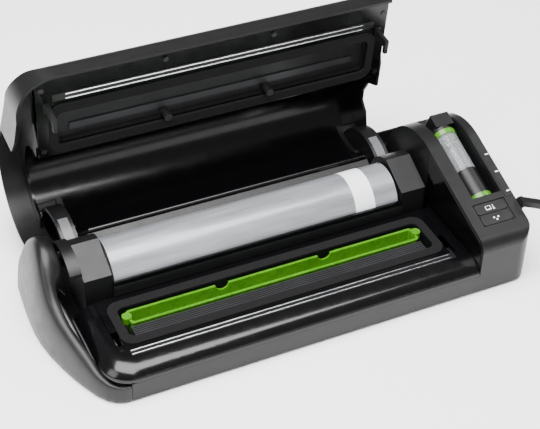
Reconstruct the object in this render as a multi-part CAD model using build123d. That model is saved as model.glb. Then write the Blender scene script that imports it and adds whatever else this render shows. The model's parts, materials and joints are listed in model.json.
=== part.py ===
from build123d import *
import math
import os

# A countertop vacuum sealer with a roll bay, a hinged lid and a docked handheld sealer.
# Lengths are in millimetres. X runs along the seal bar, Y points to the back and Z up.
# The origin lies on the table, straight below the middle of the seal bar.

# ---- driving dimensions -------------------------------------------------------------
SEAL_LENGTH = 305.0        # length of the heated seal wires
DECK_Z = 33.5              # height of the sealing deck above the table
FOOT_HEIGHT = 3.0          # the housing's underside stands this far above the table
FRONT_Y = -23.0            # front face of the body
ROLL_Y = 101.0             # axis of the film roll
ROLL_Z = DECK_Z + 6.0
FILM_RADIUS = 27.5
FILM_LENGTH = 279.0
CORE_RADIUS = 15.2
TROUGH_RADIUS = 30.0
SHOULDER_RADIUS = 33.0     # arc of the blocks at both ends of the roll bay
SHOULDER_INNER = 142.0
SHOULDER_OUTER = 167.0
CHEEK_RADIUS = 46.0        # arc of the left end cap's hump
CHEEK_STEP_Y = 78.0        # where the end cap's low crest jumps up to the hump
COVER_RADIUS = 55.5        # arc of the lid's dome and of the control tower
COVER_SLOPE = 0.345        # rise of the lid's top per length
COVER_CORNER = 13.0        # rounding between the front face and the sloping top
HINGE_Y = 165.0
HINGE_Z = DECK_Z - 19.0
LID_OPEN = 84.0            # degrees between the closed lid and the open one
LID_RIGHT = 170.5
LID_LEFT_FRONT = -186.5    # left edge of the lid behind its big front corner
LID_LEFT_BACK = -191.0     # left edge of the lid's dome
LID_CORNER = 36.0          # plan rounding of the lid's left front corner
PANEL_BACK = 64.8          # back edge of the lid's seal panel
TOWER_LEFT = 172.3
TOWER_RIGHT = 226.0
WALL = 2.5                 # wall thickness of the moulded housings
GAP = 0.4                  # clearance between neighbouring mouldings
RUNNING_GAP = 0.06         # radial clearance of turning fits
DRUM_RADIUS = 44.0         # hinge drums, about the hinge axis
DRUM_INNER = 150.0
DRUM_OUTER = 165.0
PIN_RADIUS = 4.0
LEVER_SWING = 60.0         # degrees
PIN_REACH = 8.0            # from the lever's axis to its crank pin
LEVER_Y = 40.0             # axis of the latch lever
LEVER_Z = 21.5
HOOK_X = 158.6
TRAY_LENGTH = 279.0
RAIL_Y = 141.8             # rod behind the film roll
RAIL_Z = 51.7
RAIL_RADIUS = 2.8
DECK_CORNER = 9.0          # plan rounding of the deck's left front corner
SLOT_RADIUS = 14.8         # trough around the docked handheld sealer
SLOT_START = -3.6          # ends of that trough along the handheld's axis
SLOT_END = 110.0
INLET_LOW = 21.2           # underside of the mains inlet
TOWER_CORNER = 14.0        # plan rounding of the tower's right front corner

# ---- derived places -----------------------------------------------------------------
PAN_BACK = 211.0
PAN_LEFT = -178.4
BODY_BACK = ROLL_Y + COVER_RADIUS
FLOOR_TOP = FOOT_HEIGHT + WALL
LOW_WALL = DECK_Z - 14.0   # top of the low wall behind the hinge
BAND_TOP = DECK_Z - 12.5
RIM_Z = BAND_TOP + 14.5     # bottom edge of the closed lid's front wall
PANEL_Z = DECK_Z + 3.0     # underside of the closed lid's seal panel
SEAM_Z = DECK_Z + 14.0     # seam across the control tower's front
SEAM_X = 209.0             # upright seam near the tower's right corner
CAP_X = -161.0             # seam between the front band and the left end cap
CAP_LEAN = 0.26            # inward lean of the end cap's outer face per height
HINGE = Axis((0, HINGE_Y, HINGE_Z), (1, 0, 0))
LEVER = Axis((0, LEVER_Y, LEVER_Z), (1, 0, 0))
SLOPE_ANGLE = math.atan(COVER_SLOPE)

NODES = {}


# ---- small helpers ------------------------------------------------------------------
def block(x0, x1, y0, y1, z0, z1):
    """A box between two corners."""
    return Pos((x0 + x1) / 2, (y0 + y1) / 2, (z0 + z1) / 2) * Box(x1 - x0, y1 - y0, z1 - z0)


def rod_x(y, z, radius, x0, x1):
    """A round bar along X."""
    return Pos((x0 + x1) / 2, y, z) * Rot(0, 90, 0) * Cylinder(radius, x1 - x0)


def rod_y(x, z, radius, y0, y1):
    """A round bar along Y."""
    return Pos(x, (y0 + y1) / 2, z) * Rot(90, 0, 0) * Cylinder(radius, y1 - y0)


def rod_z(x, y, radius, z0, z1):
    """A round bar along Z."""
    return Pos(x, y, (z0 + z1) / 2) * Cylinder(radius, z1 - z0)


def side_face(*points):
    """A flat side outline from (y, z) corners."""
    return make_face(Polyline(*points, close=True))


def along_x(face, x0, x1):
    """Pushes a side outline from x0 to x1."""
    return extrude(Plane.YZ.offset(x0) * face, amount=x1 - x0, dir=(1, 0, 0))


def upward(face, z0, z1):
    """Pushes a plan outline from z0 to z1."""
    return extrude(Pos(0, 0, z0) * face, amount=z1 - z0, dir=(0, 0, 1))


def disc(y, z, radius):
    """A round side outline."""
    return Pos(y, z) * Circle(radius)


def rounded_plate(x0, x1, y0, y1, radius, z0, z1):
    """A plate with rounded plan corners."""
    outline = Pos((x0 + x1) / 2, (y0 + y1) / 2) * RectangleRounded(x1 - x0, y1 - y0, radius)
    return upward(outline, z0, z1)


def both_sides(part):
    """The same piece on both sides of the middle plane."""
    return [part, mirror(part, about=Plane.YZ)]


def opened(part):
    """Turns a piece of the closed lid to the open rest pose."""
    if isinstance(part, list):
        return [opened(item) for item in part]
    return part.rotate(HINGE, -LID_OPEN)


def save(name, *parts):
    """Keeps the pieces of one node."""
    solids = []
    for part in parts:
        group = part if isinstance(part, list) else [part]
        for item in group:
            solids.extend(item.solids())
    NODES[name] = solids


# ---- the profile shared by the lid and the control tower ----------------------------
def top_height(y):
    """Height of the sloping top before it meets the dome."""
    return ROLL_Z + COVER_RADIUS * math.hypot(1, COVER_SLOPE) + COVER_SLOPE * (y - ROLL_Y)


def cover_face(inset, bottom):
    """Upright front, sloping top and round dome, moved inwards by inset."""
    radius = COVER_RADIUS - inset
    touch_y = ROLL_Y - radius * math.sin(SLOPE_ANGLE)
    touch_z = ROLL_Z + radius * math.cos(SLOPE_ANGLE)
    front = FRONT_Y + inset
    front_top = touch_z - COVER_SLOPE * (touch_y - front)
    wedge = side_face(
        (front, bottom), (front, front_top), (touch_y, touch_z), (ROLL_Y, ROLL_Z), (ROLL_Y, bottom)
    )
    nose = wedge.vertices().sort_by_distance((front, front_top, 0))[0]
    return fillet(nose, COVER_CORNER - inset) + disc(ROLL_Y, ROLL_Z, radius)


def ring_x(y, z, outer, inner, x0, x1):
    """A tube along X."""
    return rod_x(y, z, outer, x0, x1) - rod_x(y, z, inner, x0 - 1, x1 + 1)


# ---- left end cap -------------------------------------------------------------------
def cap_body(inset):
    """The end cap's bulging outer form; its walls lean inwards as they rise."""
    height = 90.0
    points = [(-150, FRONT_Y + inset), (-163, FRONT_Y + inset), (-180 + 0.7 * inset, -16 + 0.7 * inset),
              (-191 + inset, 3), (-203 + inset, 36), (-210.5 + inset, 72), (-211 + inset, 99),
              (-207 + inset, 148 - inset)]
    bulge = Spline(*points[1:], tangents=[(-1, 0), (0.1, 1)])
    edge = Polyline(points[-1], (-120, points[-1][1]), (-120, points[0][1]), points[1])
    face = Pos(0, 0, FOOT_HEIGHT) * make_face([bulge, edge])
    return Solid.extrude(face.face(), Vector(CAP_LEAN * height, 0, height))


def cap_side(inset):
    """Side outline of the end cap: a rising crest, a step and a round hump over the film roll."""
    low = FOOT_HEIGHT - 1
    step = CHEEK_STEP_Y + inset
    crest = [(-24, 18.5), (-16, 18.5), (0, 23), (20, 35.5), (46, 42), (64, 51), (72, 64),
             (CHEEK_STEP_Y + 4, 69)]
    front = side_face((-24, low), *[(y, z - inset) for y, z in crest], (CHEEK_STEP_Y + 4, low))
    soft = [v for v in front.vertices() if -20 < v.X < 70 and v.Y > low + 1]
    front = fillet(soft, 9)
    arch = disc(ROLL_Y, ROLL_Z, CHEEK_RADIUS - inset)
    arch &= side_face((step, ROLL_Z), (step, 100), (160, 100), (160, ROLL_Z))
    foot = side_face((step, low), (step, ROLL_Z + 1), (ROLL_Y + CHEEK_RADIUS - inset, ROLL_Z + 1), (151, low))
    return front + arch + foot


def left_end_cap():
    crest_x = -183.5
    hump_x = PAN_LEFT - GAP
    cap = cap_body(0) & along_x(cap_side(0), -215, CAP_X)
    inner = cap_body(WALL)
    cap -= (inner & along_x(cap_side(WALL), -215, CAP_X)) & (
        block(-215, crest_x - WALL, -30, CHEEK_STEP_Y - WALL / 2, FLOOR_TOP, 120)
        + block(-215, hump_x - WALL, CHEEK_STEP_Y + WALL / 2, 160, FLOOR_TOP, 120)
    )
    cap -= inner & block(crest_x, CAP_X, -30, CHEEK_STEP_Y - WALL / 2, FLOOR_TOP, 120)
    cap -= inner & block(hump_x, CAP_X, -30, 160, -1, 120)
    cap -= block(hump_x, CAP_X + 1, CHEEK_STEP_Y - 1, 160, -1, 120)
    return cap - block(crest_x, CAP_X, FRONT_Y + WALL, CHEEK_STEP_Y, BAND_TOP - 0.5, 120)


save("left_end_cap", left_end_cap())


# ---- base ---------------------------------------------------------------------------
HOOK_SLOT = (HOOK_X - 2.9, HOOK_X + 2.9, 4.5, 28.5)


def base_pan():
    inner = WALL
    pan = block(CAP_X, TOWER_RIGHT - inner - GAP, FRONT_Y + inner, PAN_BACK, FOOT_HEIGHT, FLOOR_TOP)
    pan += block(PAN_LEFT, CAP_X, -4, PAN_BACK, FOOT_HEIGHT, FLOOR_TOP)
    pan += block(CAP_X, SEAM_X, FRONT_Y, FRONT_Y + inner, FOOT_HEIGHT, BAND_TOP)
    pan += block(TOWER_LEFT, SEAM_X, FRONT_Y, FRONT_Y + inner, BAND_TOP, SEAM_Z)
    pan += block(PAN_LEFT, TOWER_RIGHT, PAN_BACK - inner, PAN_BACK, FOOT_HEIGHT, LOW_WALL)
    pan += block(PAN_LEFT, PAN_LEFT + inner, 148.4, HINGE_Y + 3, FOOT_HEIGHT, HINGE_Z - 2)
    pan += block(PAN_LEFT, PAN_LEFT + inner, HINGE_Y + 3, PAN_BACK, FOOT_HEIGHT, LOW_WALL)
    pan += block(TOWER_RIGHT - inner, TOWER_RIGHT, BODY_BACK + GAP, PAN_BACK, FOOT_HEIGHT, LOW_WALL)
    corner = block(SEAM_X, TOWER_RIGHT, FRONT_Y, FRONT_Y + 16, 0, 10)
    corner -= rod_z(TOWER_RIGHT - TOWER_CORNER, FRONT_Y + TOWER_CORNER, TOWER_CORNER - inner - GAP, 0, 10)
    corner -= block(0, TOWER_RIGHT - TOWER_CORNER, FRONT_Y + inner + GAP, 10, 0, 10)
    corner -= block(0, TOWER_RIGHT - inner - GAP, FRONT_Y + TOWER_CORNER, 10, 0, 10)
    return pan - corner


save("base_pan", base_pan())


def bezel_profile(depth, drop, wall):
    """A quarter-round skin in radial coordinates, starting at the deck edge."""
    def curve(reach, rise):
        turns = [math.radians(angle) for angle in (0, 22.5, 45, 67.5, 90)]
        return [(reach * math.sin(turn), rise * math.cos(turn)) for turn in turns]
    outer = Spline(*curve(depth, drop), tangents=[(1, 0), (0, -1)])
    inner = Spline(*curve(depth - wall, drop - wall), tangents=[(1, 0), (0, -1)])
    ends = [Line((0, drop), (0, drop - wall)), Line((depth, 0), (depth - wall, 0))]
    return make_face([outer, inner] + ends)


def front_bezel():
    """Glossy quarter-round trim from the deck down to the band, turned around the left corner."""
    edge_x = -162.0
    edge_y = -3.9
    depth = edge_y - FRONT_Y
    drop = DECK_Z - BAND_TOP - 0.3
    base_z = DECK_Z - drop
    turn = DECK_CORNER
    face = bezel_profile(depth, drop, 2.0)
    front = Plane(origin=(edge_x + turn, edge_y, base_z), x_dir=(0, -1, 0), z_dir=(-1, 0, 0))
    run = extrude(front * face, amount=LID_RIGHT + 1.2 - edge_x - turn, dir=(1, 0, 0))
    side = Plane(origin=(edge_x, edge_y + turn, base_z), x_dir=(-1, 0, 0), z_dir=(0, 1, 0))
    left = extrude(side * face, amount=68 - edge_y - turn, dir=(0, 1, 0))
    corner = revolve(side * face, Axis((edge_x + turn, edge_y + turn, 0), (0, 0, 1)), 90)
    return run + left + corner


save("front_bezel", front_bezel())


def deck_plate():
    plate = block(-161.8, 169, 4.4, 69, DECK_Z - WALL, DECK_Z)
    plate += block(-161.8, -160.8, 4.4, 69, DECK_Z, DECK_Z + 1.1)
    plate += block(168, 169, 4.4, 69, DECK_Z, DECK_Z + 1.1)
    plate += block(-161.8, -153.4, -3.7, 4.4, DECK_Z - WALL, DECK_Z)
    plate += block(158.4, 169, -3.7, 4.4, DECK_Z - WALL, DECK_Z)
    plate -= rounded_plate(-147, 147, 17, 53.5, 6, 0, 60)
    plate -= rounded_plate(-155.4, 155.4, 7.6, 62.9, 12, DECK_Z - 1.4, DECK_Z + 0.5)
    x0, x1, y0, y1 = HOOK_SLOT
    plate -= both_sides(block(x0, x1, y0, y1, 0, 60))
    corner = block(-170, -162 + DECK_CORNER, -10, DECK_CORNER - 3.9, 0, 60)
    return plate - (corner - rod_z(-162 + DECK_CORNER, DECK_CORNER - 3.9, DECK_CORNER - 0.2, -1, 61))


save("deck_plate", deck_plate())
save("lower_gasket",
     rounded_plate(-155, 155, 8, 62.5, 11.6, DECK_Z - 1.4, DECK_Z + 0.9)
     - rounded_plate(-147, 147, 17, 53.5, 6, 0, 60))
save("seal_bar", block(-153, 158, -3.7, 4.0, DECK_Z - 7, DECK_Z))
save("base_seal_wires", [
    rod_x(y, DECK_Z + 0.35, 0.35, -SEAL_LENGTH / 2, SEAL_LENGTH / 2) for y in (-2.2, 2.2)
])
save("vacuum_channel",
     rounded_plate(-149.5, 149.5, 14.5, 56, 8, DECK_Z - 20, DECK_Z - WALL)
     - rounded_plate(-147, 147, 17, 53.5, 6, DECK_Z - 18, DECK_Z)
     - rod_x(48, 22, 1.8, 140, 155))


def channel_ledge():
    top = DECK_Z - 3
    shelf = block(-141, 141, 17.6, 32, top - 2.2, top)
    for x in (-140, -70, 0, 70, 140):
        shelf += block(x - 1, x + 1, 18, 31.6, DECK_Z - 18, top - 2.2)
    for y in (20.2, 22.6, 25, 27.4, 29.8):
        shelf -= block(-145, 145, y - 0.5, y + 0.5, top - 0.7, top + 1)
    return shelf


save("channel_ledge", channel_ledge())


def drip_tray():
    half = TRAY_LENGTH / 2
    top = DECK_Z - 0.6
    wall = 1.5
    tray = rounded_plate(-half, half, 33.6, 49, 3, DECK_Z - 17, top)
    tray += rounded_plate(-half - 0.8, half + 0.8, 32.8, 49.8, 3.5, top - 1.3, top)
    tray -= rounded_plate(-half + wall, half - wall, 33.6 + wall, 49 - wall, 2, DECK_Z - 17 + wall, top + 1)
    for x in (-50, 50):
        tray -= rod_y(x, top + 1, 6.5, 45, 52)
    for x in (-half - 1.6, half + 1.6):
        tray += rod_z(x, 42, 4.4, top - 5, top + 1.6)
    return tray


save("drip_tray", drip_tray())


def roll_trough():
    length = SHOULDER_INNER - 0.4
    outer = TROUGH_RADIUS + 2
    trough = ring_x(ROLL_Y, ROLL_Z, outer, TROUGH_RADIUS, -length, length)
    trough -= block(-150, 150, 60, 140, ROLL_Z + 4.4, 90)
    lip = side_face((130.3, 43.9), (132.3, 43.9), (140.6, 48.6), (139.6, 50.4))
    trough += along_x(lip, -length, length)
    return trough - rod_x(RAIL_Y, RAIL_Z, RAIL_RADIUS, -length - 1, length + 1)


save("roll_trough", roll_trough())
save("roll_rails", block(-141, 141, 70.0, 72.7, ROLL_Z + 4.4, ROLL_Z + 9),
     rod_x(RAIL_Y, RAIL_Z, RAIL_RADIUS, -139.5, 139.5))


def shoulder_block():
    inner = WALL
    front = 73.0

    def outline(inset):
        radius = SHOULDER_RADIUS - inset
        low = FLOOR_TOP - 0.1
        face = disc(ROLL_Y, ROLL_Z, radius)
        face += side_face((68, low), (68, ROLL_Z), (ROLL_Y + radius, ROLL_Z), (ROLL_Y + 20, low))
        face &= side_face((front + inset, FLOOR_TOP), (front + inset, 90), (140, 90), (140, FLOOR_TOP))
        face &= side_face((60, -10), (60, 49.5 - inset), (106, 72.5 - inset), (150, 72.5 - inset), (150, -10))
        return face - disc(HINGE_Y, HINGE_Z, DRUM_RADIUS + 0.5 + inset)

    body = along_x(outline(0), SHOULDER_INNER, SHOULDER_OUTER)
    hollow = along_x(outline(inner), SHOULDER_INNER + inner, SHOULDER_OUTER - inner)
    return body - hollow - block(SHOULDER_INNER + inner, SHOULDER_OUTER - inner, front + inner, 118, 0, 12)


save("shoulder_blocks", both_sides(shoulder_block()))


def hinge_drum():
    drum = rod_x(HINGE_Y, HINGE_Z, DRUM_RADIUS, DRUM_INNER, DRUM_OUTER)
    drum -= rod_x(HINGE_Y, HINGE_Z, DRUM_RADIUS - 3.5, DRUM_INNER + 3, DRUM_OUTER + 1)
    drum += rod_x(HINGE_Y, HINGE_Z, 9, DRUM_INNER, DRUM_OUTER)
    patch = ring_x(HINGE_Y, HINGE_Z, DRUM_RADIUS + 1, DRUM_RADIUS - 1.2, DRUM_INNER + 3, DRUM_OUTER - 3)
    drum -= patch & block(140, 170, 120, 160, 30, 70)
    drum -= rod_x(HINGE_Y, HINGE_Z, PIN_RADIUS + RUNNING_GAP, DRUM_INNER - 1, DRUM_OUTER - 3)
    drum -= block(140, 170, 100, 220, -60, FLOOR_TOP)
    return drum - block(140, 170, PAN_BACK - WALL - GAP, 230, -60, LOW_WALL + GAP)


def drum_inset():
    ring = ring_x(HINGE_Y, HINGE_Z, DRUM_RADIUS - 0.2, DRUM_RADIUS - 1.2, DRUM_INNER + 3, DRUM_OUTER - 3)
    return ring & block(140, 170, 120, 160, 30, 70)


save("hinge_drums", both_sides(hinge_drum()))
save("drum_insets", both_sides(drum_inset()))
save("rear_cover", block(-141.5, 141.5, 134, PAN_BACK - WALL - GAP, 9.5, 12)
     + block(-141.5, 141.5, 180, 182.4, FLOOR_TOP, 9.5) + block(-141.5, 141.5, 136, 138.4, FLOOR_TOP, 9.5))
save("left_bay_strip", along_x(
    (disc(ROLL_Y, ROLL_Z, 35) - disc(ROLL_Y, ROLL_Z, 32.5)) & side_face((76, 45), (76, 90), (133, 90), (133, 45)),
    PAN_LEFT + 0.4, -SHOULDER_OUTER - GAP))

# ---- control tower ------------------------------------------------------------------
def on_top(x, y, depth=0.0):
    """A plane lying on the sloping top, or at a depth below it."""
    tilt = Vector(0, -math.sin(SLOPE_ANGLE), math.cos(SLOPE_ANGLE))
    return Plane(origin=Vector(x, y, top_height(y)) - tilt * depth, x_dir=(1, 0, 0), z_dir=tuple(tilt))


def on_dock(along):
    """A plane square to the docked handheld sealer's axis."""
    run = Vector(0, math.cos(SLOPE_ANGLE), math.sin(SLOPE_ANGLE))
    return Plane(origin=Vector(201.3, 32, DECK_Z + 25) + run * along, x_dir=(1, 0, 0), z_dir=tuple(run))


def dock_rod(radius, start, end):
    """A round piece of the handheld sealer between two places on its axis."""
    return on_dock((start + end) / 2) * Cylinder(radius, end - start)


def tower_body(inset, bottom):
    """The tower's outer form with a rounded corner in plan, moved inwards by inset."""
    radius = COVER_RADIUS - inset
    profile = cover_face(inset, bottom) & side_face((-40, bottom), (-40, 120), (200, 120), (200, bottom))
    profile += side_face((ROLL_Y, bottom), (ROLL_Y, ROLL_Z), (ROLL_Y + radius, ROLL_Z), (ROLL_Y + radius, bottom))
    body = along_x(profile, TOWER_LEFT + inset, TOWER_RIGHT - inset)
    plan = RectangleRounded(200, 400, TOWER_CORNER - inset)
    plan = Pos(TOWER_RIGHT - inset - 100, FRONT_Y + inset + 200) * plan
    return body & upward(plan, 0, 120)


def dock_slot(radius, start, end):
    """The open-topped space around the docked handheld."""
    length = end - start
    plane = on_dock((start + end) / 2)
    return plane * Cylinder(radius, length) + plane * (Pos(0, -25, 0) * Box(2 * radius, 50, length))


def control_housing():
    housing = tower_body(0, FOOT_HEIGHT) - tower_body(WALL, FOOT_HEIGHT - 1)
    housing -= block(TOWER_LEFT - 1, SEAM_X, FRONT_Y - 1, FRONT_Y + WALL + 0.1, 0, SEAM_Z)
    housing -= block(TOWER_LEFT - 1, TOWER_LEFT + WALL + 1, FRONT_Y - 1, FRONT_Y + WALL + 0.1, 0, SEAM_Z)
    housing -= dock_slot(SLOT_RADIUS + 0.2, SLOT_START, SLOT_END)
    housing -= on_top(198.5, 6) * Box(34.4, 24.4, 12)
    housing -= rod_x(LEVER_Y, LEVER_Z, PIN_RADIUS + RUNNING_GAP, TOWER_RIGHT - 5, TOWER_RIGHT + 1)
    housing -= rod_x(48, 22, 3.0, TOWER_LEFT - 1, TOWER_LEFT + 4)
    housing -= block(TOWER_LEFT - 1, TOWER_LEFT + 4, 8, 34, 0, 14)
    housing -= block(188, 210, BODY_BACK - 5, BODY_BACK + 1, INLET_LOW - 0.2, INLET_LOW + 17.8)
    housing -= block(TOWER_LEFT - 1, TOWER_LEFT + 4, FRONT_Y, 200, 0, FLOOR_TOP + 0.3)
    housing -= block(TOWER_LEFT - 1, TOWER_RIGHT - WALL - 0.01, BODY_BACK - 5, 200, 0, FLOOR_TOP + 0.3)
    return housing


save("control_housing", control_housing())
save("tower_side_plate", along_x(
    cover_face(3.5, DECK_Z) & side_face((-19.5, DECK_Z + 0.2), (-19.5, 120), (78, 120), (78, DECK_Z + 0.2)),
    TOWER_LEFT - 0.6, TOWER_LEFT))


def slot_liner():
    liner = dock_slot(SLOT_RADIUS + 1.8, SLOT_START - 1.8, SLOT_END)
    liner -= dock_slot(SLOT_RADIUS, SLOT_START, SLOT_END + 1)
    return liner & tower_body(WALL + 0.2, FOOT_HEIGHT)


save("slot_liner", slot_liner())


def button_panel():
    panel = on_top(198.5, 6, 2.2) * Box(34, 24, 2.4)
    for place in (-5.9, 5.9):
        panel -= on_top(198.5, 6, 2.2) * (Pos(0, place, 0) * Box(31.2, 10.8, 8))
    return panel


save("button_panel", button_panel())


def push_button(place):
    cap = on_top(198.5, 6, 3.0) * (Pos(0, place, 0) * RectangleRounded(30.4, 10, 2))
    return extrude(cap, amount=2.6)


def icon_on(place, *shapes):
    """Raised pictogram strokes on a button's face."""
    plane = on_top(198.5, 6, 0.4)
    return [extrude(plane * (Pos(0, place) * shape), amount=0.15) for shape in shapes]


save("vacuum_button", push_button(5.9))
save("seal_button", push_button(-5.9))
save("vacuum_button_icon", icon_on(
    5.9,
    Pos(-2.6, 0) * RectangleRounded(5.4, 4.4, 0.8) - Pos(-2.6, 0.3) * RectangleRounded(4.2, 3.2, 0.4),
    Pos(2.6, 0.6) * Rectangle(0.7, 3.4),
    Pos(2.6, -1.7) * Triangle(a=2.4, b=2.4, c=2.4)))
save("seal_button_icon", icon_on(
    -5.9, *[Pos(x, y) * Circle(0.9) for x, y in ((-2.2, 0.9), (2.2, 0.9), (0, -1.5))]))
save("mark_strip", along_x(
    (cover_face(-0.4, 0) - cover_face(0, -1)) & side_face((17, 55), (17, 120), (146, 120), (146, 72)),
    217.4, 225.4))
save("position_marks", [
    extrude(on_top(223, y, -0.4) * Rectangle(3.6, 1.2), amount=0.15) for y in (22, 43, 62)
])

# ---- docked handheld sealer ---------------------------------------------------------
save("handheld_nozzle", dock_rod(8.5, -3.3, -2) - dock_rod(5.5, -4, -2.6))
save("handheld_rings", dock_rod(12.4, -2, 2.5), dock_rod(12.6, 72, 77))
save("handheld_body", dock_rod(11.6, 2.5, 31))
save("handheld_tank", dock_rod(11.8, 31, 72) - dock_rod(10.4, 32, 71))
save("handheld_piston", dock_rod(6, 33, 58), dock_rod(10.1, 60, 62.5), dock_rod(2, 62.5, 70))
save("handheld_cap", dock_rod(11.4, 77, 82) + on_dock(88) * (Pos(1.5, -2, 0) * Box(19, 19, 14)))


# ---- latch --------------------------------------------------------------------------


def latch_lever():
    outer = TOWER_RIGHT + 0.5
    lever = rod_x(LEVER_Y, LEVER_Z, 9, outer, outer + 3)
    arm_side = side_face((LEVER_Y - 9, LEVER_Z), (LEVER_Y + 9, LEVER_Z), (9, 72.5), (1, 66))
    lever += along_x(arm_side, outer, outer + 3)
    handle = Pos(235.3, -0.6, 69) * Rot(0, 0, -37) * Box(24, 7, 6)
    lever += handle & block(outer, 260, -30, 30, 60, 80)
    lever += rod_x(LEVER_Y, LEVER_Z, PIN_RADIUS, 218.2, outer)
    crank = block(218.2, 221.2, LEVER_Y - 3, LEVER_Y + 3, LEVER_Z - PIN_REACH - 2.4, LEVER_Z)
    crank += rod_x(LEVER_Y, LEVER_Z - PIN_REACH, 2, 213, 218.2)
    return lever + crank.rotate(LEVER, LEVER_SWING / 2)


save("latch_lever", latch_lever())


def latch_bar():
    low = 9.5
    high = 12.4
    bar = block(-165, 217, 23.4, 31.4, low, high)
    for side in (-1, 1):
        x0, x1 = sorted((side * (HOOK_X - 2), side * (HOOK_X + 2)))
        bar += block(x0, x1, 28.6, 31.4, low, 22.2)
        bar += block(x0, x1, 23.4, 31.4, 19.6, 22.2)
    bar += block(213.8, 217, 31.4, 51, low, high)
    bar += block(213.8, 217, 37.5, 51, low, 18.6)
    return bar - block(213, 218, 44 - 2.35, 44 + 2.35, 11.2, 20)


save("latch_bar", latch_bar())

# ---- film roll ----------------------------------------------------------------------
half_film = FILM_LENGTH / 2
save("roll_core", ring_x(ROLL_Y, ROLL_Z, CORE_RADIUS, CORE_RADIUS - 1.6, -half_film - 1, half_film + 1))
save("film_roll", ring_x(ROLL_Y, ROLL_Z, FILM_RADIUS, CORE_RADIUS + RUNNING_GAP, -half_film, half_film))
save("roll_tape", ring_x(ROLL_Y, ROLL_Z, FILM_RADIUS + 0.2, FILM_RADIUS, 96, 116))

# ---- inside the base ----------------------------------------------------------------
save("vacuum_pump", block(182, 211, 40, 76, FLOOR_TOP, 38) - rod_x(48, 22, 1.6, 181, 190))
save("pump_motor", rod_y(196.5, 22, 12, 76, 108), rod_y(196.5, 22, 4, 108, 111))
save("air_hose", ring_x(48, 22, 2.6, 1.6, 149.5, 182))
save("transformer", block(180, 219, 113, 142, FLOOR_TOP, 34), block(184, 215, 116, 139, 34, 38))
save("circuit_board", block(179, 219, -14, 24, 46, 47.6), block(184, 198, -12, 6, 47.6, 52),
     block(203, 209, 8, 16, 47.6, 55),
     [rod_z(x, y, 2.5, FLOOR_TOP, 46) for x in (182, 210) for y in (-11, 10)])
save("power_inlet", block(188.2, 209.8, BODY_BACK - 12, BODY_BACK, INLET_LOW, INLET_LOW + 17.6)
     - block(190.2, 207.8, BODY_BACK - 10, BODY_BACK + 1, INLET_LOW + 2, INLET_LOW + 15.6),
     [rod_y(x, INLET_LOW + 8.8, 1.2, BODY_BACK - 10, BODY_BACK - 3) for x in (195, 203)])
foot_places = [(-150, 0), (0, 0), (205, 0), (-150, 170), (205, 170)]
save("feet", [rod_z(x, y, 8, 0, FOOT_HEIGHT) for x, y in foot_places])
save("base_screws", [rod_z(x, y, 3.2, FOOT_HEIGHT - 1.2, FOOT_HEIGHT)
                     for x in (-120, 0, 120, 195) for y in (20, 150)])

# ---- lid, drawn closed and turned open ----------------------------------------------


def lid_plan(inset):
    """Plan outline of the lid with its big rounded corner and bulging left edge."""
    front = FRONT_Y + inset
    left = LID_LEFT_FRONT + inset
    centre = (LID_LEFT_FRONT + LID_CORNER, FRONT_Y + LID_CORNER)
    reach = (LID_CORNER - inset) / math.sqrt(2)
    corner = ThreePointArc((centre[0], front), (centre[0] - reach, centre[1] - reach), (left, centre[1]))
    bulge = Spline((left, centre[1]), (left - 1.2, 42), (left - 3.2, 74), (LID_LEFT_BACK + inset, 104),
                   tangents=[(0, 1), (0, 1)])
    right = LID_RIGHT - inset
    rest = Polyline((LID_LEFT_BACK + inset, 104), (LID_LEFT_BACK + inset, 230), (right, 230), (right, front),
                    (centre[0], front))
    return make_face([corner, bulge, rest])


def lid_solid(inset, bottom):
    body = along_x(cover_face(inset, bottom), -220, LID_RIGHT - inset)
    return body & upward(lid_plan(inset), -60, 120)


def below_rim():
    """Everything under the lid's lower edges."""
    return block(-230, 230, -60, 140, -60, RIM_Z) + block(-230, 230, 139, 230, -60, HINGE_Z - 1)


def end_wall_void():
    """The space under the lower edge of the lid's end walls, free of the roll bay's shoulders."""
    return side_face((-60, -60), (-60, 44), (30, 44), (52, 37.5), (78, 37.5), (86, 52.5), (102, 59.5),
                     (113, 59.5), (121, 50.5), (136, 45.5), (150, 32), (180, 32), (180, -60))


def drum_slots(margin):
    """Slots through the dome around the hinge drums."""
    slot = rod_x(HINGE_Y, HINGE_Z, DRUM_RADIUS + 2 * margin, DRUM_INNER - margin, DRUM_OUTER + margin)
    return both_sides(slot)


def hinge_arm():
    x0 = SHOULDER_INNER + 1.6
    x1 = DRUM_INNER - 1.4
    arc = disc(ROLL_Y, ROLL_Z, COVER_RADIUS - WALL) - disc(ROLL_Y, ROLL_Z, 45)
    arc &= side_face(
        (ROLL_Y + 20, ROLL_Z + 70), (ROLL_Y + 80, ROLL_Z + 50), (ROLL_Y + 80, HINGE_Z), (ROLL_Y + 36, HINGE_Z)
    )
    arc &= disc(HINGE_Y, HINGE_Z, 51.5)
    link = side_face((141, 20), (148, 29), (168, 21), (165, 7), (146, 13))
    arm = along_x(arc + link + disc(HINGE_Y, HINGE_Z, 8), x0, x1)
    return arm - rod_x(HINGE_Y, HINGE_Z, PIN_RADIUS, x0 - 1, x1 + 1)


def lid_shell():
    shell = lid_solid(0, RIM_Z) - lid_solid(WALL, RIM_Z - 1)
    shell -= below_rim()
    shell -= along_x(cap_side(-0.8), -230, LID_LEFT_FRONT + 12)
    hollow = cover_face(WALL, 0) & side_face((62, -60), (62, 120), (220, 120), (220, -60))
    shell -= along_x(hollow, -230, -172)
    right_void = along_x(end_wall_void(), LID_RIGHT - WALL - 0.5, LID_RIGHT + 1)
    shell -= right_void & block(100, 230, FRONT_Y + WALL + 0.1, 139, -60, 90)
    return shell - drum_slots(1.0) - both_sides(hinge_arm())


save("lid_shell", opened(lid_shell()))


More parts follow.
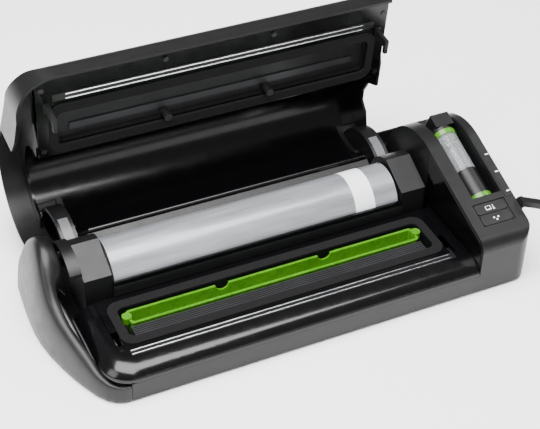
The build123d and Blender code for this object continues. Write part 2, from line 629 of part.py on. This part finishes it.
def lid_end_web():
    """Inner left end wall of the film bay."""
    face = cover_face(WALL, RIM_Z) & side_face((-10, 0), (-10, 120), (160, 120), (160, 0))
    web = along_x(face, -170.6, -168.4) - along_x(end_wall_void(), -172, -166)
    web -= rod_x(ROLL_Y, ROLL_Z, 38, -172, -166)
    return web - block(-172, -166, 139, 200, 0, 40)


save("lid_end_web", opened(lid_end_web()))


def lid_panel():
    panel = block(-168.2, 167.9, FRONT_Y + WALL, PANEL_BACK, PANEL_Z, PANEL_Z + 2.4)
    panel -= rounded_plate(-150, 150, 18, 53, 6, 0, 90)
    panel -= rounded_plate(-158, 158, 7.8, 62.4, 12, PANEL_Z - 1, PANEL_Z + 1)
    return panel & upward(lid_plan(WALL), 0, 90)


save("lid_panel", opened(lid_panel()))
save("lid_recess", opened(
    rounded_plate(-152, 152, 16, 55, 7, PANEL_Z + 2.4, PANEL_Z + 9)
    - rounded_plate(-150, 150, 18, 53, 6, 0, PANEL_Z + 7)))
save("recess_strip", opened(block(-138, 138, 37, 44, PANEL_Z + 5.5, PANEL_Z + 7)))
save("upper_gasket", opened(
    rounded_plate(-157.6, 157.6, 8.2, 62, 11.6, PANEL_Z - 1.7, PANEL_Z + 1)
    - rounded_plate(-151, 151, 17.2, 54, 6, 0, 90)))
save("lid_seal_pad", opened(block(-154, 154, -3.6, 3.6, PANEL_Z - 1.0, PANEL_Z)))
save("lid_seal_strips", opened([
    rod_x(y, PANEL_Z - 1.45, 0.45, -142.4, 142.4) for y in (-2.3, 2.3)]))


def lid_liner():
    outer = cover_face(WALL, RIM_Z)
    inner = cover_face(WALL + 1.8, RIM_Z)
    skin = (outer - inner) & side_face(
        (PANEL_BACK, 40), (PANEL_BACK, 120), (170, 120), (170, HINGE_Z + 3), (145, HINGE_Z + 3), (140, 40)
    )
    liner = along_x(skin, -168.2, 167.9)
    liner += block(-168.2, 167.9, PANEL_BACK - 1.8, PANEL_BACK, PANEL_Z + 2.4, 82.2)
    return liner - both_sides(rod_x(HINGE_Y, HINGE_Z, 53, SHOULDER_INNER + 0.8, 169))


save("lid_liner", opened(lid_liner()))
save("lid_pegs", opened([rod_z(x, 47.6, 3.6, 30.2, PANEL_Z + 7) for x in (-50, 50)]),
     opened([rod_z(x, -15, 2.4, PANEL_Z - 1.8, PANEL_Z) for x in (-51.5, 51.5)]))


def lid_hook():
    x0 = HOOK_X - 1.7
    x1 = HOOK_X + 1.7
    hook = block(x0, x1, 6, 14, 15.2, PANEL_Z)
    hook += block(x0, x1, 13, 20.2, 15.2, 19.2)
    hook += block(x0, x1 + 1.6, 4.5, 14.5, PANEL_Z - 1.6, PANEL_Z)
    return hook


save("lid_hooks", opened(both_sides(lid_hook())))
save("lid_screws", opened([
    rod_z(x, y, 2.6, PANEL_Z - 0.7, PANEL_Z) for x in (-163.5, 163.5) for y in (-10, 58)]))


save("lid_hinge_arms", opened(both_sides(hinge_arm())))
save("hinge_pins", both_sides(rod_x(HINGE_Y, HINGE_Z, PIN_RADIUS, SHOULDER_INNER + 1.6, DRUM_OUTER - 4)))


def write_nodes():
    os.makedirs("parts", exist_ok=True)
    for name, solids in NODES.items():
        shape = solids[0] if len(solids) == 1 else Compound(children=solids)
        export_step(shape, "parts/" + name + ".step")


write_nodes()
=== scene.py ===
import json
import math

import bmesh
import bpy
from mathutils import Matrix, Vector


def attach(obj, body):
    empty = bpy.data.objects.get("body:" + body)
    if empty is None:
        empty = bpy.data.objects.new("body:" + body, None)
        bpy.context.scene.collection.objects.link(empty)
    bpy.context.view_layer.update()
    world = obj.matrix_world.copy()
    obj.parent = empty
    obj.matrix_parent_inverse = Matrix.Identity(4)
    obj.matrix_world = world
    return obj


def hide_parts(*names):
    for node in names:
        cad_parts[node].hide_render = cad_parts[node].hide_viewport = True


# The looks of a countertop vacuum sealer: materials on the CAD nodes, one flowing skin
# over the left end cap, and a pale studio round it.

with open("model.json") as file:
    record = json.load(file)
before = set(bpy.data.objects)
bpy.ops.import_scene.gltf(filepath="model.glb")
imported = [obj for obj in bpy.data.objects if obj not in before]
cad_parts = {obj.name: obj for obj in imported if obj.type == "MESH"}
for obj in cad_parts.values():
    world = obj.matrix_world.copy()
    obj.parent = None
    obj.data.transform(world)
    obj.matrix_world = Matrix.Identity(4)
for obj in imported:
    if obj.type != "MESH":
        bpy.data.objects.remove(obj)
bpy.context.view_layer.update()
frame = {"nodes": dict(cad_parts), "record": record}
nodes = frame["nodes"]

MM = 0.001                 # lengths below are in millimetres where MM is applied to them


# ---- materials ----------------------------------------------------------------------
def shader(name):
    """A new material with its node tree, its Principled shader and object coordinates."""
    mat = bpy.data.materials.new(name)
    mat.use_nodes = True
    tree = mat.node_tree
    coords = tree.nodes.new("ShaderNodeTexCoord")
    return mat, tree, tree.nodes["Principled BSDF"], coords.outputs["Object"]


def noise(tree, coords, scale, detail=3.0, rough=0.55, stretch=None):
    """Noise at a scale per metre, stretched along axes when asked."""
    if stretch:
        mapping = tree.nodes.new("ShaderNodeMapping")
        mapping.inputs["Scale"].default_value = stretch
        tree.links.new(coords, mapping.inputs["Vector"])
        coords = mapping.outputs["Vector"]
    tex = tree.nodes.new("ShaderNodeTexNoise")
    tex.inputs["Scale"].default_value = scale
    tex.inputs["Detail"].default_value = detail
    tex.inputs["Roughness"].default_value = rough
    tree.links.new(coords, tex.inputs["Vector"])
    return tex.outputs["Fac"]


def ramp(tree, value, stops):
    """A colour ramp over a value, from (place, colour) stops."""
    node = tree.nodes.new("ShaderNodeValToRGB")
    elements = node.color_ramp.elements
    while len(elements) < len(stops):
        elements.new(0.5)
    for element, (place, colour) in zip(elements, stops):
        element.position = place
        element.color = (*colour, 1) if len(colour) == 3 else colour
    tree.links.new(value, node.inputs["Fac"])
    return node.outputs["Color"]


def spread(tree, value, low, high):
    """Maps 0.3..0.7 of a noise to low..high."""
    node = tree.nodes.new("ShaderNodeMapRange")
    node.inputs["From Min"].default_value = 0.3
    node.inputs["From Max"].default_value = 0.7
    node.inputs["To Min"].default_value = low
    node.inputs["To Max"].default_value = high
    tree.links.new(value, node.inputs["Value"])
    return node.outputs["Result"]


def bump(tree, height, bsdf, strength, distance):
    """Raises a shader's surface by a height value, over a distance in metres."""
    node = tree.nodes.new("ShaderNodeBump")
    node.inputs["Strength"].default_value = strength
    node.inputs["Distance"].default_value = distance
    tree.links.new(height, node.inputs["Height"])
    tree.links.new(node.outputs["Normal"], bsdf.inputs["Normal"])


def moulded(name, colour, low_rough, high_rough, grain=2600, depth=0.35, vary=0.12, shine=0.36):
    """Moulded plastic: fine spark-eroded grain, soft colour drift and uneven sheen."""
    mat, tree, bsdf, coords = shader(name)
    drift = noise(tree, coords, 28, 4)
    dark = [c * (1 - vary) for c in colour]
    light = [min(1, c * (1 + vary)) for c in colour]
    tree.links.new(ramp(tree, drift, [(0.3, dark), (0.7, light)]), bsdf.inputs["Base Color"])
    tree.links.new(spread(tree, noise(tree, coords, 90, 5), low_rough, high_rough), bsdf.inputs["Roughness"])
    bump(tree, noise(tree, coords, grain, 2), bsdf, depth, 0.00006)
    bsdf.inputs["Specular IOR Level"].default_value = shine
    return mat


def metal(name, colour, low_rough, high_rough, stretch):
    """Drawn or brushed metal with streaks along one axis."""
    mat, tree, bsdf, coords = shader(name)
    streak = noise(tree, coords, 900, 3, stretch=stretch)
    dark = [c * 0.8 for c in colour]
    tree.links.new(ramp(tree, streak, [(0.3, dark), (0.7, colour)]), bsdf.inputs["Base Color"])
    tree.links.new(spread(tree, streak, low_rough, high_rough), bsdf.inputs["Roughness"])
    bump(tree, streak, bsdf, 0.2, 0.00004)
    bsdf.inputs["Metallic"].default_value = 1.0
    return mat


def foam():
    """Closed-cell foam with small open pores at the surface, their pits darkened with painted shade."""
    mat, tree, bsdf, coords = shader("foam")
    pores = tree.nodes.new("ShaderNodeTexVoronoi")
    pores.inputs["Scale"].default_value = 1400
    tree.links.new(coords, pores.inputs["Vector"])
    # Painted shade: the base colour darkens towards the middle of each pore pit, the same pits that the bump
    # sinks.
    tree.links.new(
        ramp(tree, pores.outputs["Distance"],
             [(0.05, (0.002, 0.002, 0.002)), (0.5, (0.008, 0.008, 0.0085))]),
        bsdf.inputs["Base Color"])
    tree.links.new(spread(tree, noise(tree, coords, 300), 0.75, 0.95), bsdf.inputs["Roughness"])
    bsdf.inputs["Specular IOR Level"].default_value = 0.08
    bump(tree, pores.outputs["Distance"], bsdf, 0.6, 0.0002)
    return mat


def lime(name, colour, edge):
    """Translucent green moulding whose thin rims glow lighter."""
    mat, tree, bsdf, coords = shader(name)
    drift = noise(tree, coords, 40, 3)
    tree.links.new(ramp(tree, drift, [(0.3, colour), (0.75, edge)]), bsdf.inputs["Base Color"])
    tree.links.new(spread(tree, noise(tree, coords, 160), 0.22, 0.34), bsdf.inputs["Roughness"])
    bump(tree, noise(tree, coords, 1200), bsdf, 0.15, 0.00005)
    bsdf.inputs["Subsurface Weight"].default_value = 0.35
    bsdf.inputs["Subsurface Radius"].default_value = (0.004, 0.008, 0.001)
    bsdf.inputs["Subsurface Scale"].default_value = 0.6
    return mat


def film():
    """Wound embossed film: silver-white layers with a fine diamond emboss and long soft ripples, their
    raised crests lightened with painted sheen.
    """
    mat, tree, bsdf, coords = shader("film")
    ripple_and_sheen = noise(tree, coords, 70, 3, stretch=(0.12, 1.2, 1.2))
    # Painted sheen: the base colour lightens along the raised crests of the long ripples, standing in for
    # reflected streaks of light.
    tree.links.new(
        ramp(tree, ripple_and_sheen,
             [(0.3, (0.16, 0.165, 0.18)), (0.55, (0.22, 0.225, 0.24)), (0.75, (0.30, 0.31, 0.33))]),
        bsdf.inputs["Base Color"])
    tree.links.new(spread(tree, ripple_and_sheen, 0.22, 0.38), bsdf.inputs["Roughness"])
    emboss = noise(tree, coords, 900, 1)
    mixed = tree.nodes.new("ShaderNodeMath")
    mixed.operation = "MULTIPLY_ADD"
    mixed.inputs[1].default_value = 4.0
    tree.links.new(ripple_and_sheen, mixed.inputs[0])
    tree.links.new(emboss, mixed.inputs[2])
    bump(tree, mixed.outputs["Value"], bsdf, 0.35, 0.00025)
    bsdf.inputs["Metallic"].default_value = 0.25
    bsdf.inputs["Coat Weight"].default_value = 0.5
    bsdf.inputs["Coat Roughness"].default_value = 0.15
    return mat


def clear():
    """Clear moulded plastic with faint haze."""
    mat, tree, bsdf, coords = shader("clear")
    bsdf.inputs["Base Color"].default_value = (0.93, 0.97, 0.98, 1)
    bsdf.inputs["Transmission Weight"].default_value = 0.9
    bsdf.inputs["IOR"].default_value = 1.2
    tree.links.new(spread(tree, noise(tree, coords, 220), 0.04, 0.16), bsdf.inputs["Roughness"])
    bump(tree, noise(tree, coords, 500), bsdf, 0.1, 0.00005)
    return mat


def board():
    """Green circuit board with a hint of copper tracks."""
    mat, tree, bsdf, coords = shader("board")
    tracks = noise(tree, coords, 350, 1, stretch=(1, 4, 1))
    tree.links.new(ramp(tree, tracks, [(0.45, (0.012, 0.10, 0.04)), (0.55, (0.03, 0.2, 0.08))]),
                   bsdf.inputs["Base Color"])
    tree.links.new(spread(tree, tracks, 0.3, 0.45), bsdf.inputs["Roughness"])
    bump(tree, tracks, bsdf, 0.3, 0.00005)
    return mat


def make_materials():
    """One material for each slot of the record."""
    return {
        "body_grey": moulded("body_grey", (0.005, 0.005, 0.0054), 0.34, 0.42, vary=0.08, shine=0.3),
        "gloss_black": moulded("gloss_black", (0.0015, 0.0015, 0.0018), 0.14, 0.2,
                               grain=700, depth=0.05, shine=0.4),
        "satin_black": moulded("satin_black", (0.0045, 0.0045, 0.005), 0.32, 0.42),
        "foam": foam(),
        "lime": lime("lime", (0.04, 0.16, 0.003), (0.06, 0.21, 0.006)),
        "ledge_grey": moulded("ledge_grey", (0.016, 0.016, 0.017), 0.28, 0.4),
        "film": film(),
        "tape_white": moulded("tape_white", (0.78, 0.79, 0.81), 0.25, 0.4, grain=900, vary=0.03),
        "core_card": moulded("core_card", (0.42, 0.31, 0.2), 0.7, 0.9, grain=1500, depth=0.6),
        "wire": metal("wire", (0.9, 0.9, 0.91), 0.12, 0.25, (0.1, 3, 3)),
        "steel": metal("steel", (0.55, 0.55, 0.57), 0.25, 0.4, (0.2, 2, 2)),
        "black_steel": metal("black_steel", (0.05, 0.05, 0.052), 0.3, 0.45, (1, 1, 1)),
        "rubber": moulded("rubber", (0.006, 0.006, 0.006), 0.7, 0.85, grain=1400, depth=0.5, shine=0.15),
        "light_grey": moulded("light_grey", (0.10, 0.102, 0.105), 0.3, 0.42),
        "panel_black": moulded("panel_black", (0.0065, 0.0065, 0.007), 0.28, 0.4, grain=1800, depth=0.2),
        "print_white": moulded("print_white", (0.75, 0.75, 0.76), 0.4, 0.5, vary=0.02),
        "clear": clear(),
        "board": board(),
        "motor": metal("motor", (0.5, 0.5, 0.52), 0.25, 0.4, (2, 0.2, 2)),
        "laminate": metal("laminate", (0.1, 0.1, 0.105), 0.45, 0.6, (1, 1, 8)),
    }


materials = make_materials()
slot_of = {row["node"]: row["material_slot"] for row in frame["record"]["subparts"]}

# Widths of the softened edges, in millimetres
EDGE = 0.35
WIDER_EDGES = {"lid_shell": 1.1, "control_housing": 1.0, "base_pan": 0.5, "shoulder_blocks": 1.2,
               "hinge_drums": 0.8, "handheld_cap": 2.0, "latch_lever": 0.9, "seal_bar": 0.3,
               "lower_gasket": 0.5}
SHARP = {"film_roll", "roll_tape", "base_seal_wires", "lid_seal_strips", "position_marks",
         "vacuum_button_icon", "seal_button_icon", "air_hose"}


def soften_edges(obj, width):
    """Rounds a moulding's sharp edges."""
    bevel = obj.modifiers.new("soft_edges", "BEVEL")
    bevel.width = width * MM
    bevel.segments = 3
    bevel.limit_method = "ANGLE"
    bevel.angle_limit = math.radians(40)
    bevel.use_clamp_overlap = True


for name, obj in nodes.items():
    for material_slot in obj.material_slots:
        material_slot.material = materials[slot_of[name]]
    if name not in SHARP:
        soften_edges(obj, WIDER_EDGES.get(name, EDGE))


# ---- left cheek ---------------------------------------------------------------------
# Millimetres. The foot line is the end cap's base in plan, from the seam at the front
# round to the back. The crest is its top edge in side view, with the hump over the roll.
CHEEK_FOOT = [(-161.4, -23.0), (-168, -22.6), (-175, -19.6), (-181, -14.5), (-186.4, -6.5), (-191, 3),
              (-197.4, 18.5), (-203, 36), (-207.7, 54), (-210.4, 71), (-211.4, 86), (-211, 101),
              (-210, 117), (-208.6, 133), (-207.2, 147.4)]
CHEEK_CREST = [(-23, 18.4), (-12, 19.5), (0, 23.5), (20, 34.5), (46, 43.5), (64, 53), (74, 63), (80, 70),
               (88, 78.5), (98, 84), (108, 84.6), (120, 80.2), (133, 70), (147.4, 43)]
CHEEK_BASE = 3             # height of the foot line
SEAM_X = -161.4            # seam against the front band
SIDE_REACH = 20            # behind the seam, the skin has turned fully to the side after this
LEAN_REACH = 16            # and it has its full lean after this
LEAN = 0.19                # inward lean per height
ROLL_OVER = 3.4            # how far the crest rolls inwards
FULL_RISE = 30             # the crest rolls fully where it stands this far above the base
HEIGHT_CURVE = 0.9         # below 1, the skin climbs faster near its foot
LEAN_CURVE = 1.3           # above 1, the lean gathers near the crest
FRONT_SHARE = 0.5          # how much of the lean the front face takes
ROWS = 14                  # rows from the foot line to the crest
COLUMNS = 4                # columns between two points of the foot line
LIP = [(3.2, -0.2), (4.6, -2.2)]   # reach inwards and height of the rolled edge
LIP_REACH = 4.9
LIP_DEPTH = 9.0
HUMP_START = 79            # behind this, the rim is a wide shelf up to the inner wall
SHELF_X = -181.0
INNER_WALL_X = -179.0
SHELF_DROPS = (0.3, 2.2)
INNER_WALL_FOOT = 12


def share(value, full):
    """How much of its full amount a value has reached, from 0 to 1."""
    return min(1, max(0, value / full))


def between(table, y):
    """Reads a table of (y, value) rows with straight lines between them."""
    for (y0, v0), (y1, v1) in zip(table, table[1:]):
        if y <= y1:
            return v0 + (v1 - v0) * (y - y0) / (y1 - y0)
    return table[-1][1]


def foot_line():
    """The end cap's foot line, cut finer between its points."""
    line = []
    for (x0, y0), (x1, y1) in zip(CHEEK_FOOT, CHEEK_FOOT[1:]):
        for i in range(COLUMNS):
            line.append((x0 + (x1 - x0) * i / COLUMNS, y0 + (y1 - y0) * i / COLUMNS))
    return line + [CHEEK_FOOT[-1]]


def cheek_rim(lip, y, top, side, rise):
    """The edge from the crest inwards: a rolled lip, or a shelf and inner wall at the hump."""
    if y > HUMP_START:
        shallow, deep = SHELF_DROPS
        heights = (top - shallow, top - deep, INNER_WALL_FOOT)
        return [(x, y, z) for x, z in zip((SHELF_X, INNER_WALL_X, INNER_WALL_X), heights)]
    edge = LIP + [(LIP_REACH, -LIP_DEPTH * share(rise, FULL_RISE))]
    return [lip + Vector((reach * side, reach * (1 - side), down)) for reach, down in edge]


def cheek_column(x, y):
    """One upright row of points, from the foot line over the crest to the inside."""
    top = between(CHEEK_CREST, y)
    rise = top - CHEEK_BASE
    side = share(SEAM_X - x, SIDE_REACH)
    lean = LEAN * rise * share(SEAM_X - x, LEAN_REACH)
    column = []
    for row in range(ROWS + 1):
        part = row / ROWS
        turn = part * math.pi / 2
        height = CHEEK_BASE + rise * math.sin(turn) ** HEIGHT_CURVE
        roll = ROLL_OVER * (1 - math.cos(turn)) ** 3 * share(rise, FULL_RISE)
        inward = lean * part ** LEAN_CURVE + roll
        column.append(Vector((x + inward * side, y + inward * (1 - side) * FRONT_SHARE, height)))
    return column + cheek_rim(column[-1], y, top, side, rise)


def cheek_mesh(columns):
    """Joins the columns into one skin, closed at the back."""
    mesh = bmesh.new()
    grid = [[mesh.verts.new(place) for place in column] for column in columns]
    for left, right in zip(grid, grid[1:]):
        for row in range(len(left) - 1):
            mesh.faces.new((left[row], left[row + 1], right[row + 1], right[row]))
    mesh.faces.new(reversed(grid[-1]))
    for vert in mesh.verts:
        vert.co *= MM
    bmesh.ops.recalc_face_normals(mesh, faces=mesh.faces)
    data = bpy.data.meshes.new("left_cheek")
    mesh.to_mesh(data)
    mesh.free()
    for face in data.polygons:
        face.use_smooth = True
    return data


def make_cheek():
    """The end cap's outer skin: one flowing surface from the foot line over to a soft crest."""
    columns = [cheek_column(x, y) for x, y in foot_line()]
    data = cheek_mesh(columns)
    data.materials.append(materials["body_grey"])
    cheek = bpy.data.objects.new("left_cheek", data)
    bpy.context.scene.collection.objects.link(cheek)
    # The foot line and both ends stay where they are while the rest is smoothed.
    rows = len(columns[0])
    inner_columns = range(1, len(columns) - 1)
    soft = cheek.vertex_groups.new(name="soft")
    soft.add([column * rows + row for column in inner_columns for row in range(1, rows)], 1.0, "REPLACE")
    smooth = cheek.modifiers.new("flow", "SMOOTH")
    smooth.vertex_group = soft.name
    smooth.factor = 0.5
    smooth.iterations = 6
    thick = cheek.modifiers.new("wall", "SOLIDIFY")
    thick.thickness = 1.6 * MM
    thick.offset = -1
    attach(cheek, "base")
    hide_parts("left_end_cap")


make_cheek()


# ---- stage --------------------------------------------------------------------------
def make_floor():
    """A wide sheet of pale paper."""
    bpy.ops.mesh.primitive_plane_add(size=14, location=(0, 0, 0))
    floor = bpy.context.object
    floor.name = "floor"
    mat, tree, bsdf, coords = shader("paper_sweep")
    shade = ramp(tree, noise(tree, coords, 2), [(0.3, (0.93, 0.93, 0.935)), (0.7, (0.95, 0.95, 0.95))])
    tree.links.new(shade, bsdf.inputs["Base Color"])
    bsdf.inputs["Roughness"].default_value = 0.9
    floor.data.materials.append(mat)


def area_light(name, place, aim, width, power, height):
    """A rectangular softbox, turned towards a point. Metres and watts."""
    data = bpy.data.lights.new(name, "AREA")
    data.energy = power
    data.shape = "RECTANGLE"
    data.size = width
    data.size_y = height
    lamp = bpy.data.objects.new(name, data)
    lamp.location = place
    lamp.rotation_euler = (Vector(aim) - Vector(place)).to_track_quat("-Z", "Y").to_euler()
    bpy.context.scene.collection.objects.link(lamp)


def make_lights():
    """A large softbox overhead, three small ones around and a faint even surround."""
    target = (0, 0.08, 0.06)
    area_light("overhead", (-0.35, -0.25, 2.1), (-0.05, 0.05, 0), 2.2, 215, 2.0)
    area_light("left", (-2.0, -0.3, 1.1), target, 1.0, 20, 1.2)
    area_light("front", (0.4, -2.2, 0.7), target, 1.8, 6, 0.6)
    area_light("right", (1.6, 0.2, 1.2), target, 0.5, 9, 1.0)
    world = bpy.data.worlds.new("studio")
    world.use_nodes = True
    world.node_tree.nodes["Background"].inputs["Color"].default_value = (1, 1, 1, 1)
    world.node_tree.nodes["Background"].inputs["Strength"].default_value = 0.30
    bpy.context.scene.world = world


def make_camera():
    """Looks down from the front left."""
    right = Vector((0.9055, -0.4240, 0.0240))
    down = Vector((-0.2508, -0.5800, -0.7750))
    forward = Vector((0.3425, 0.6955, -0.6315))
    place = Vector((-0.4071, -0.7678, 0.8379))
    data = bpy.data.cameras.new("camera")
    data.lens = 91.2
    data.sensor_width = 36
    cam = bpy.data.objects.new("camera", data)
    axes = Matrix((right, -down, -forward)).transposed().to_4x4()
    cam.matrix_world = Matrix.Translation(place) @ axes
    bpy.context.scene.collection.objects.link(cam)
    bpy.context.scene.camera = cam


make_floor()
make_lights()
make_camera()
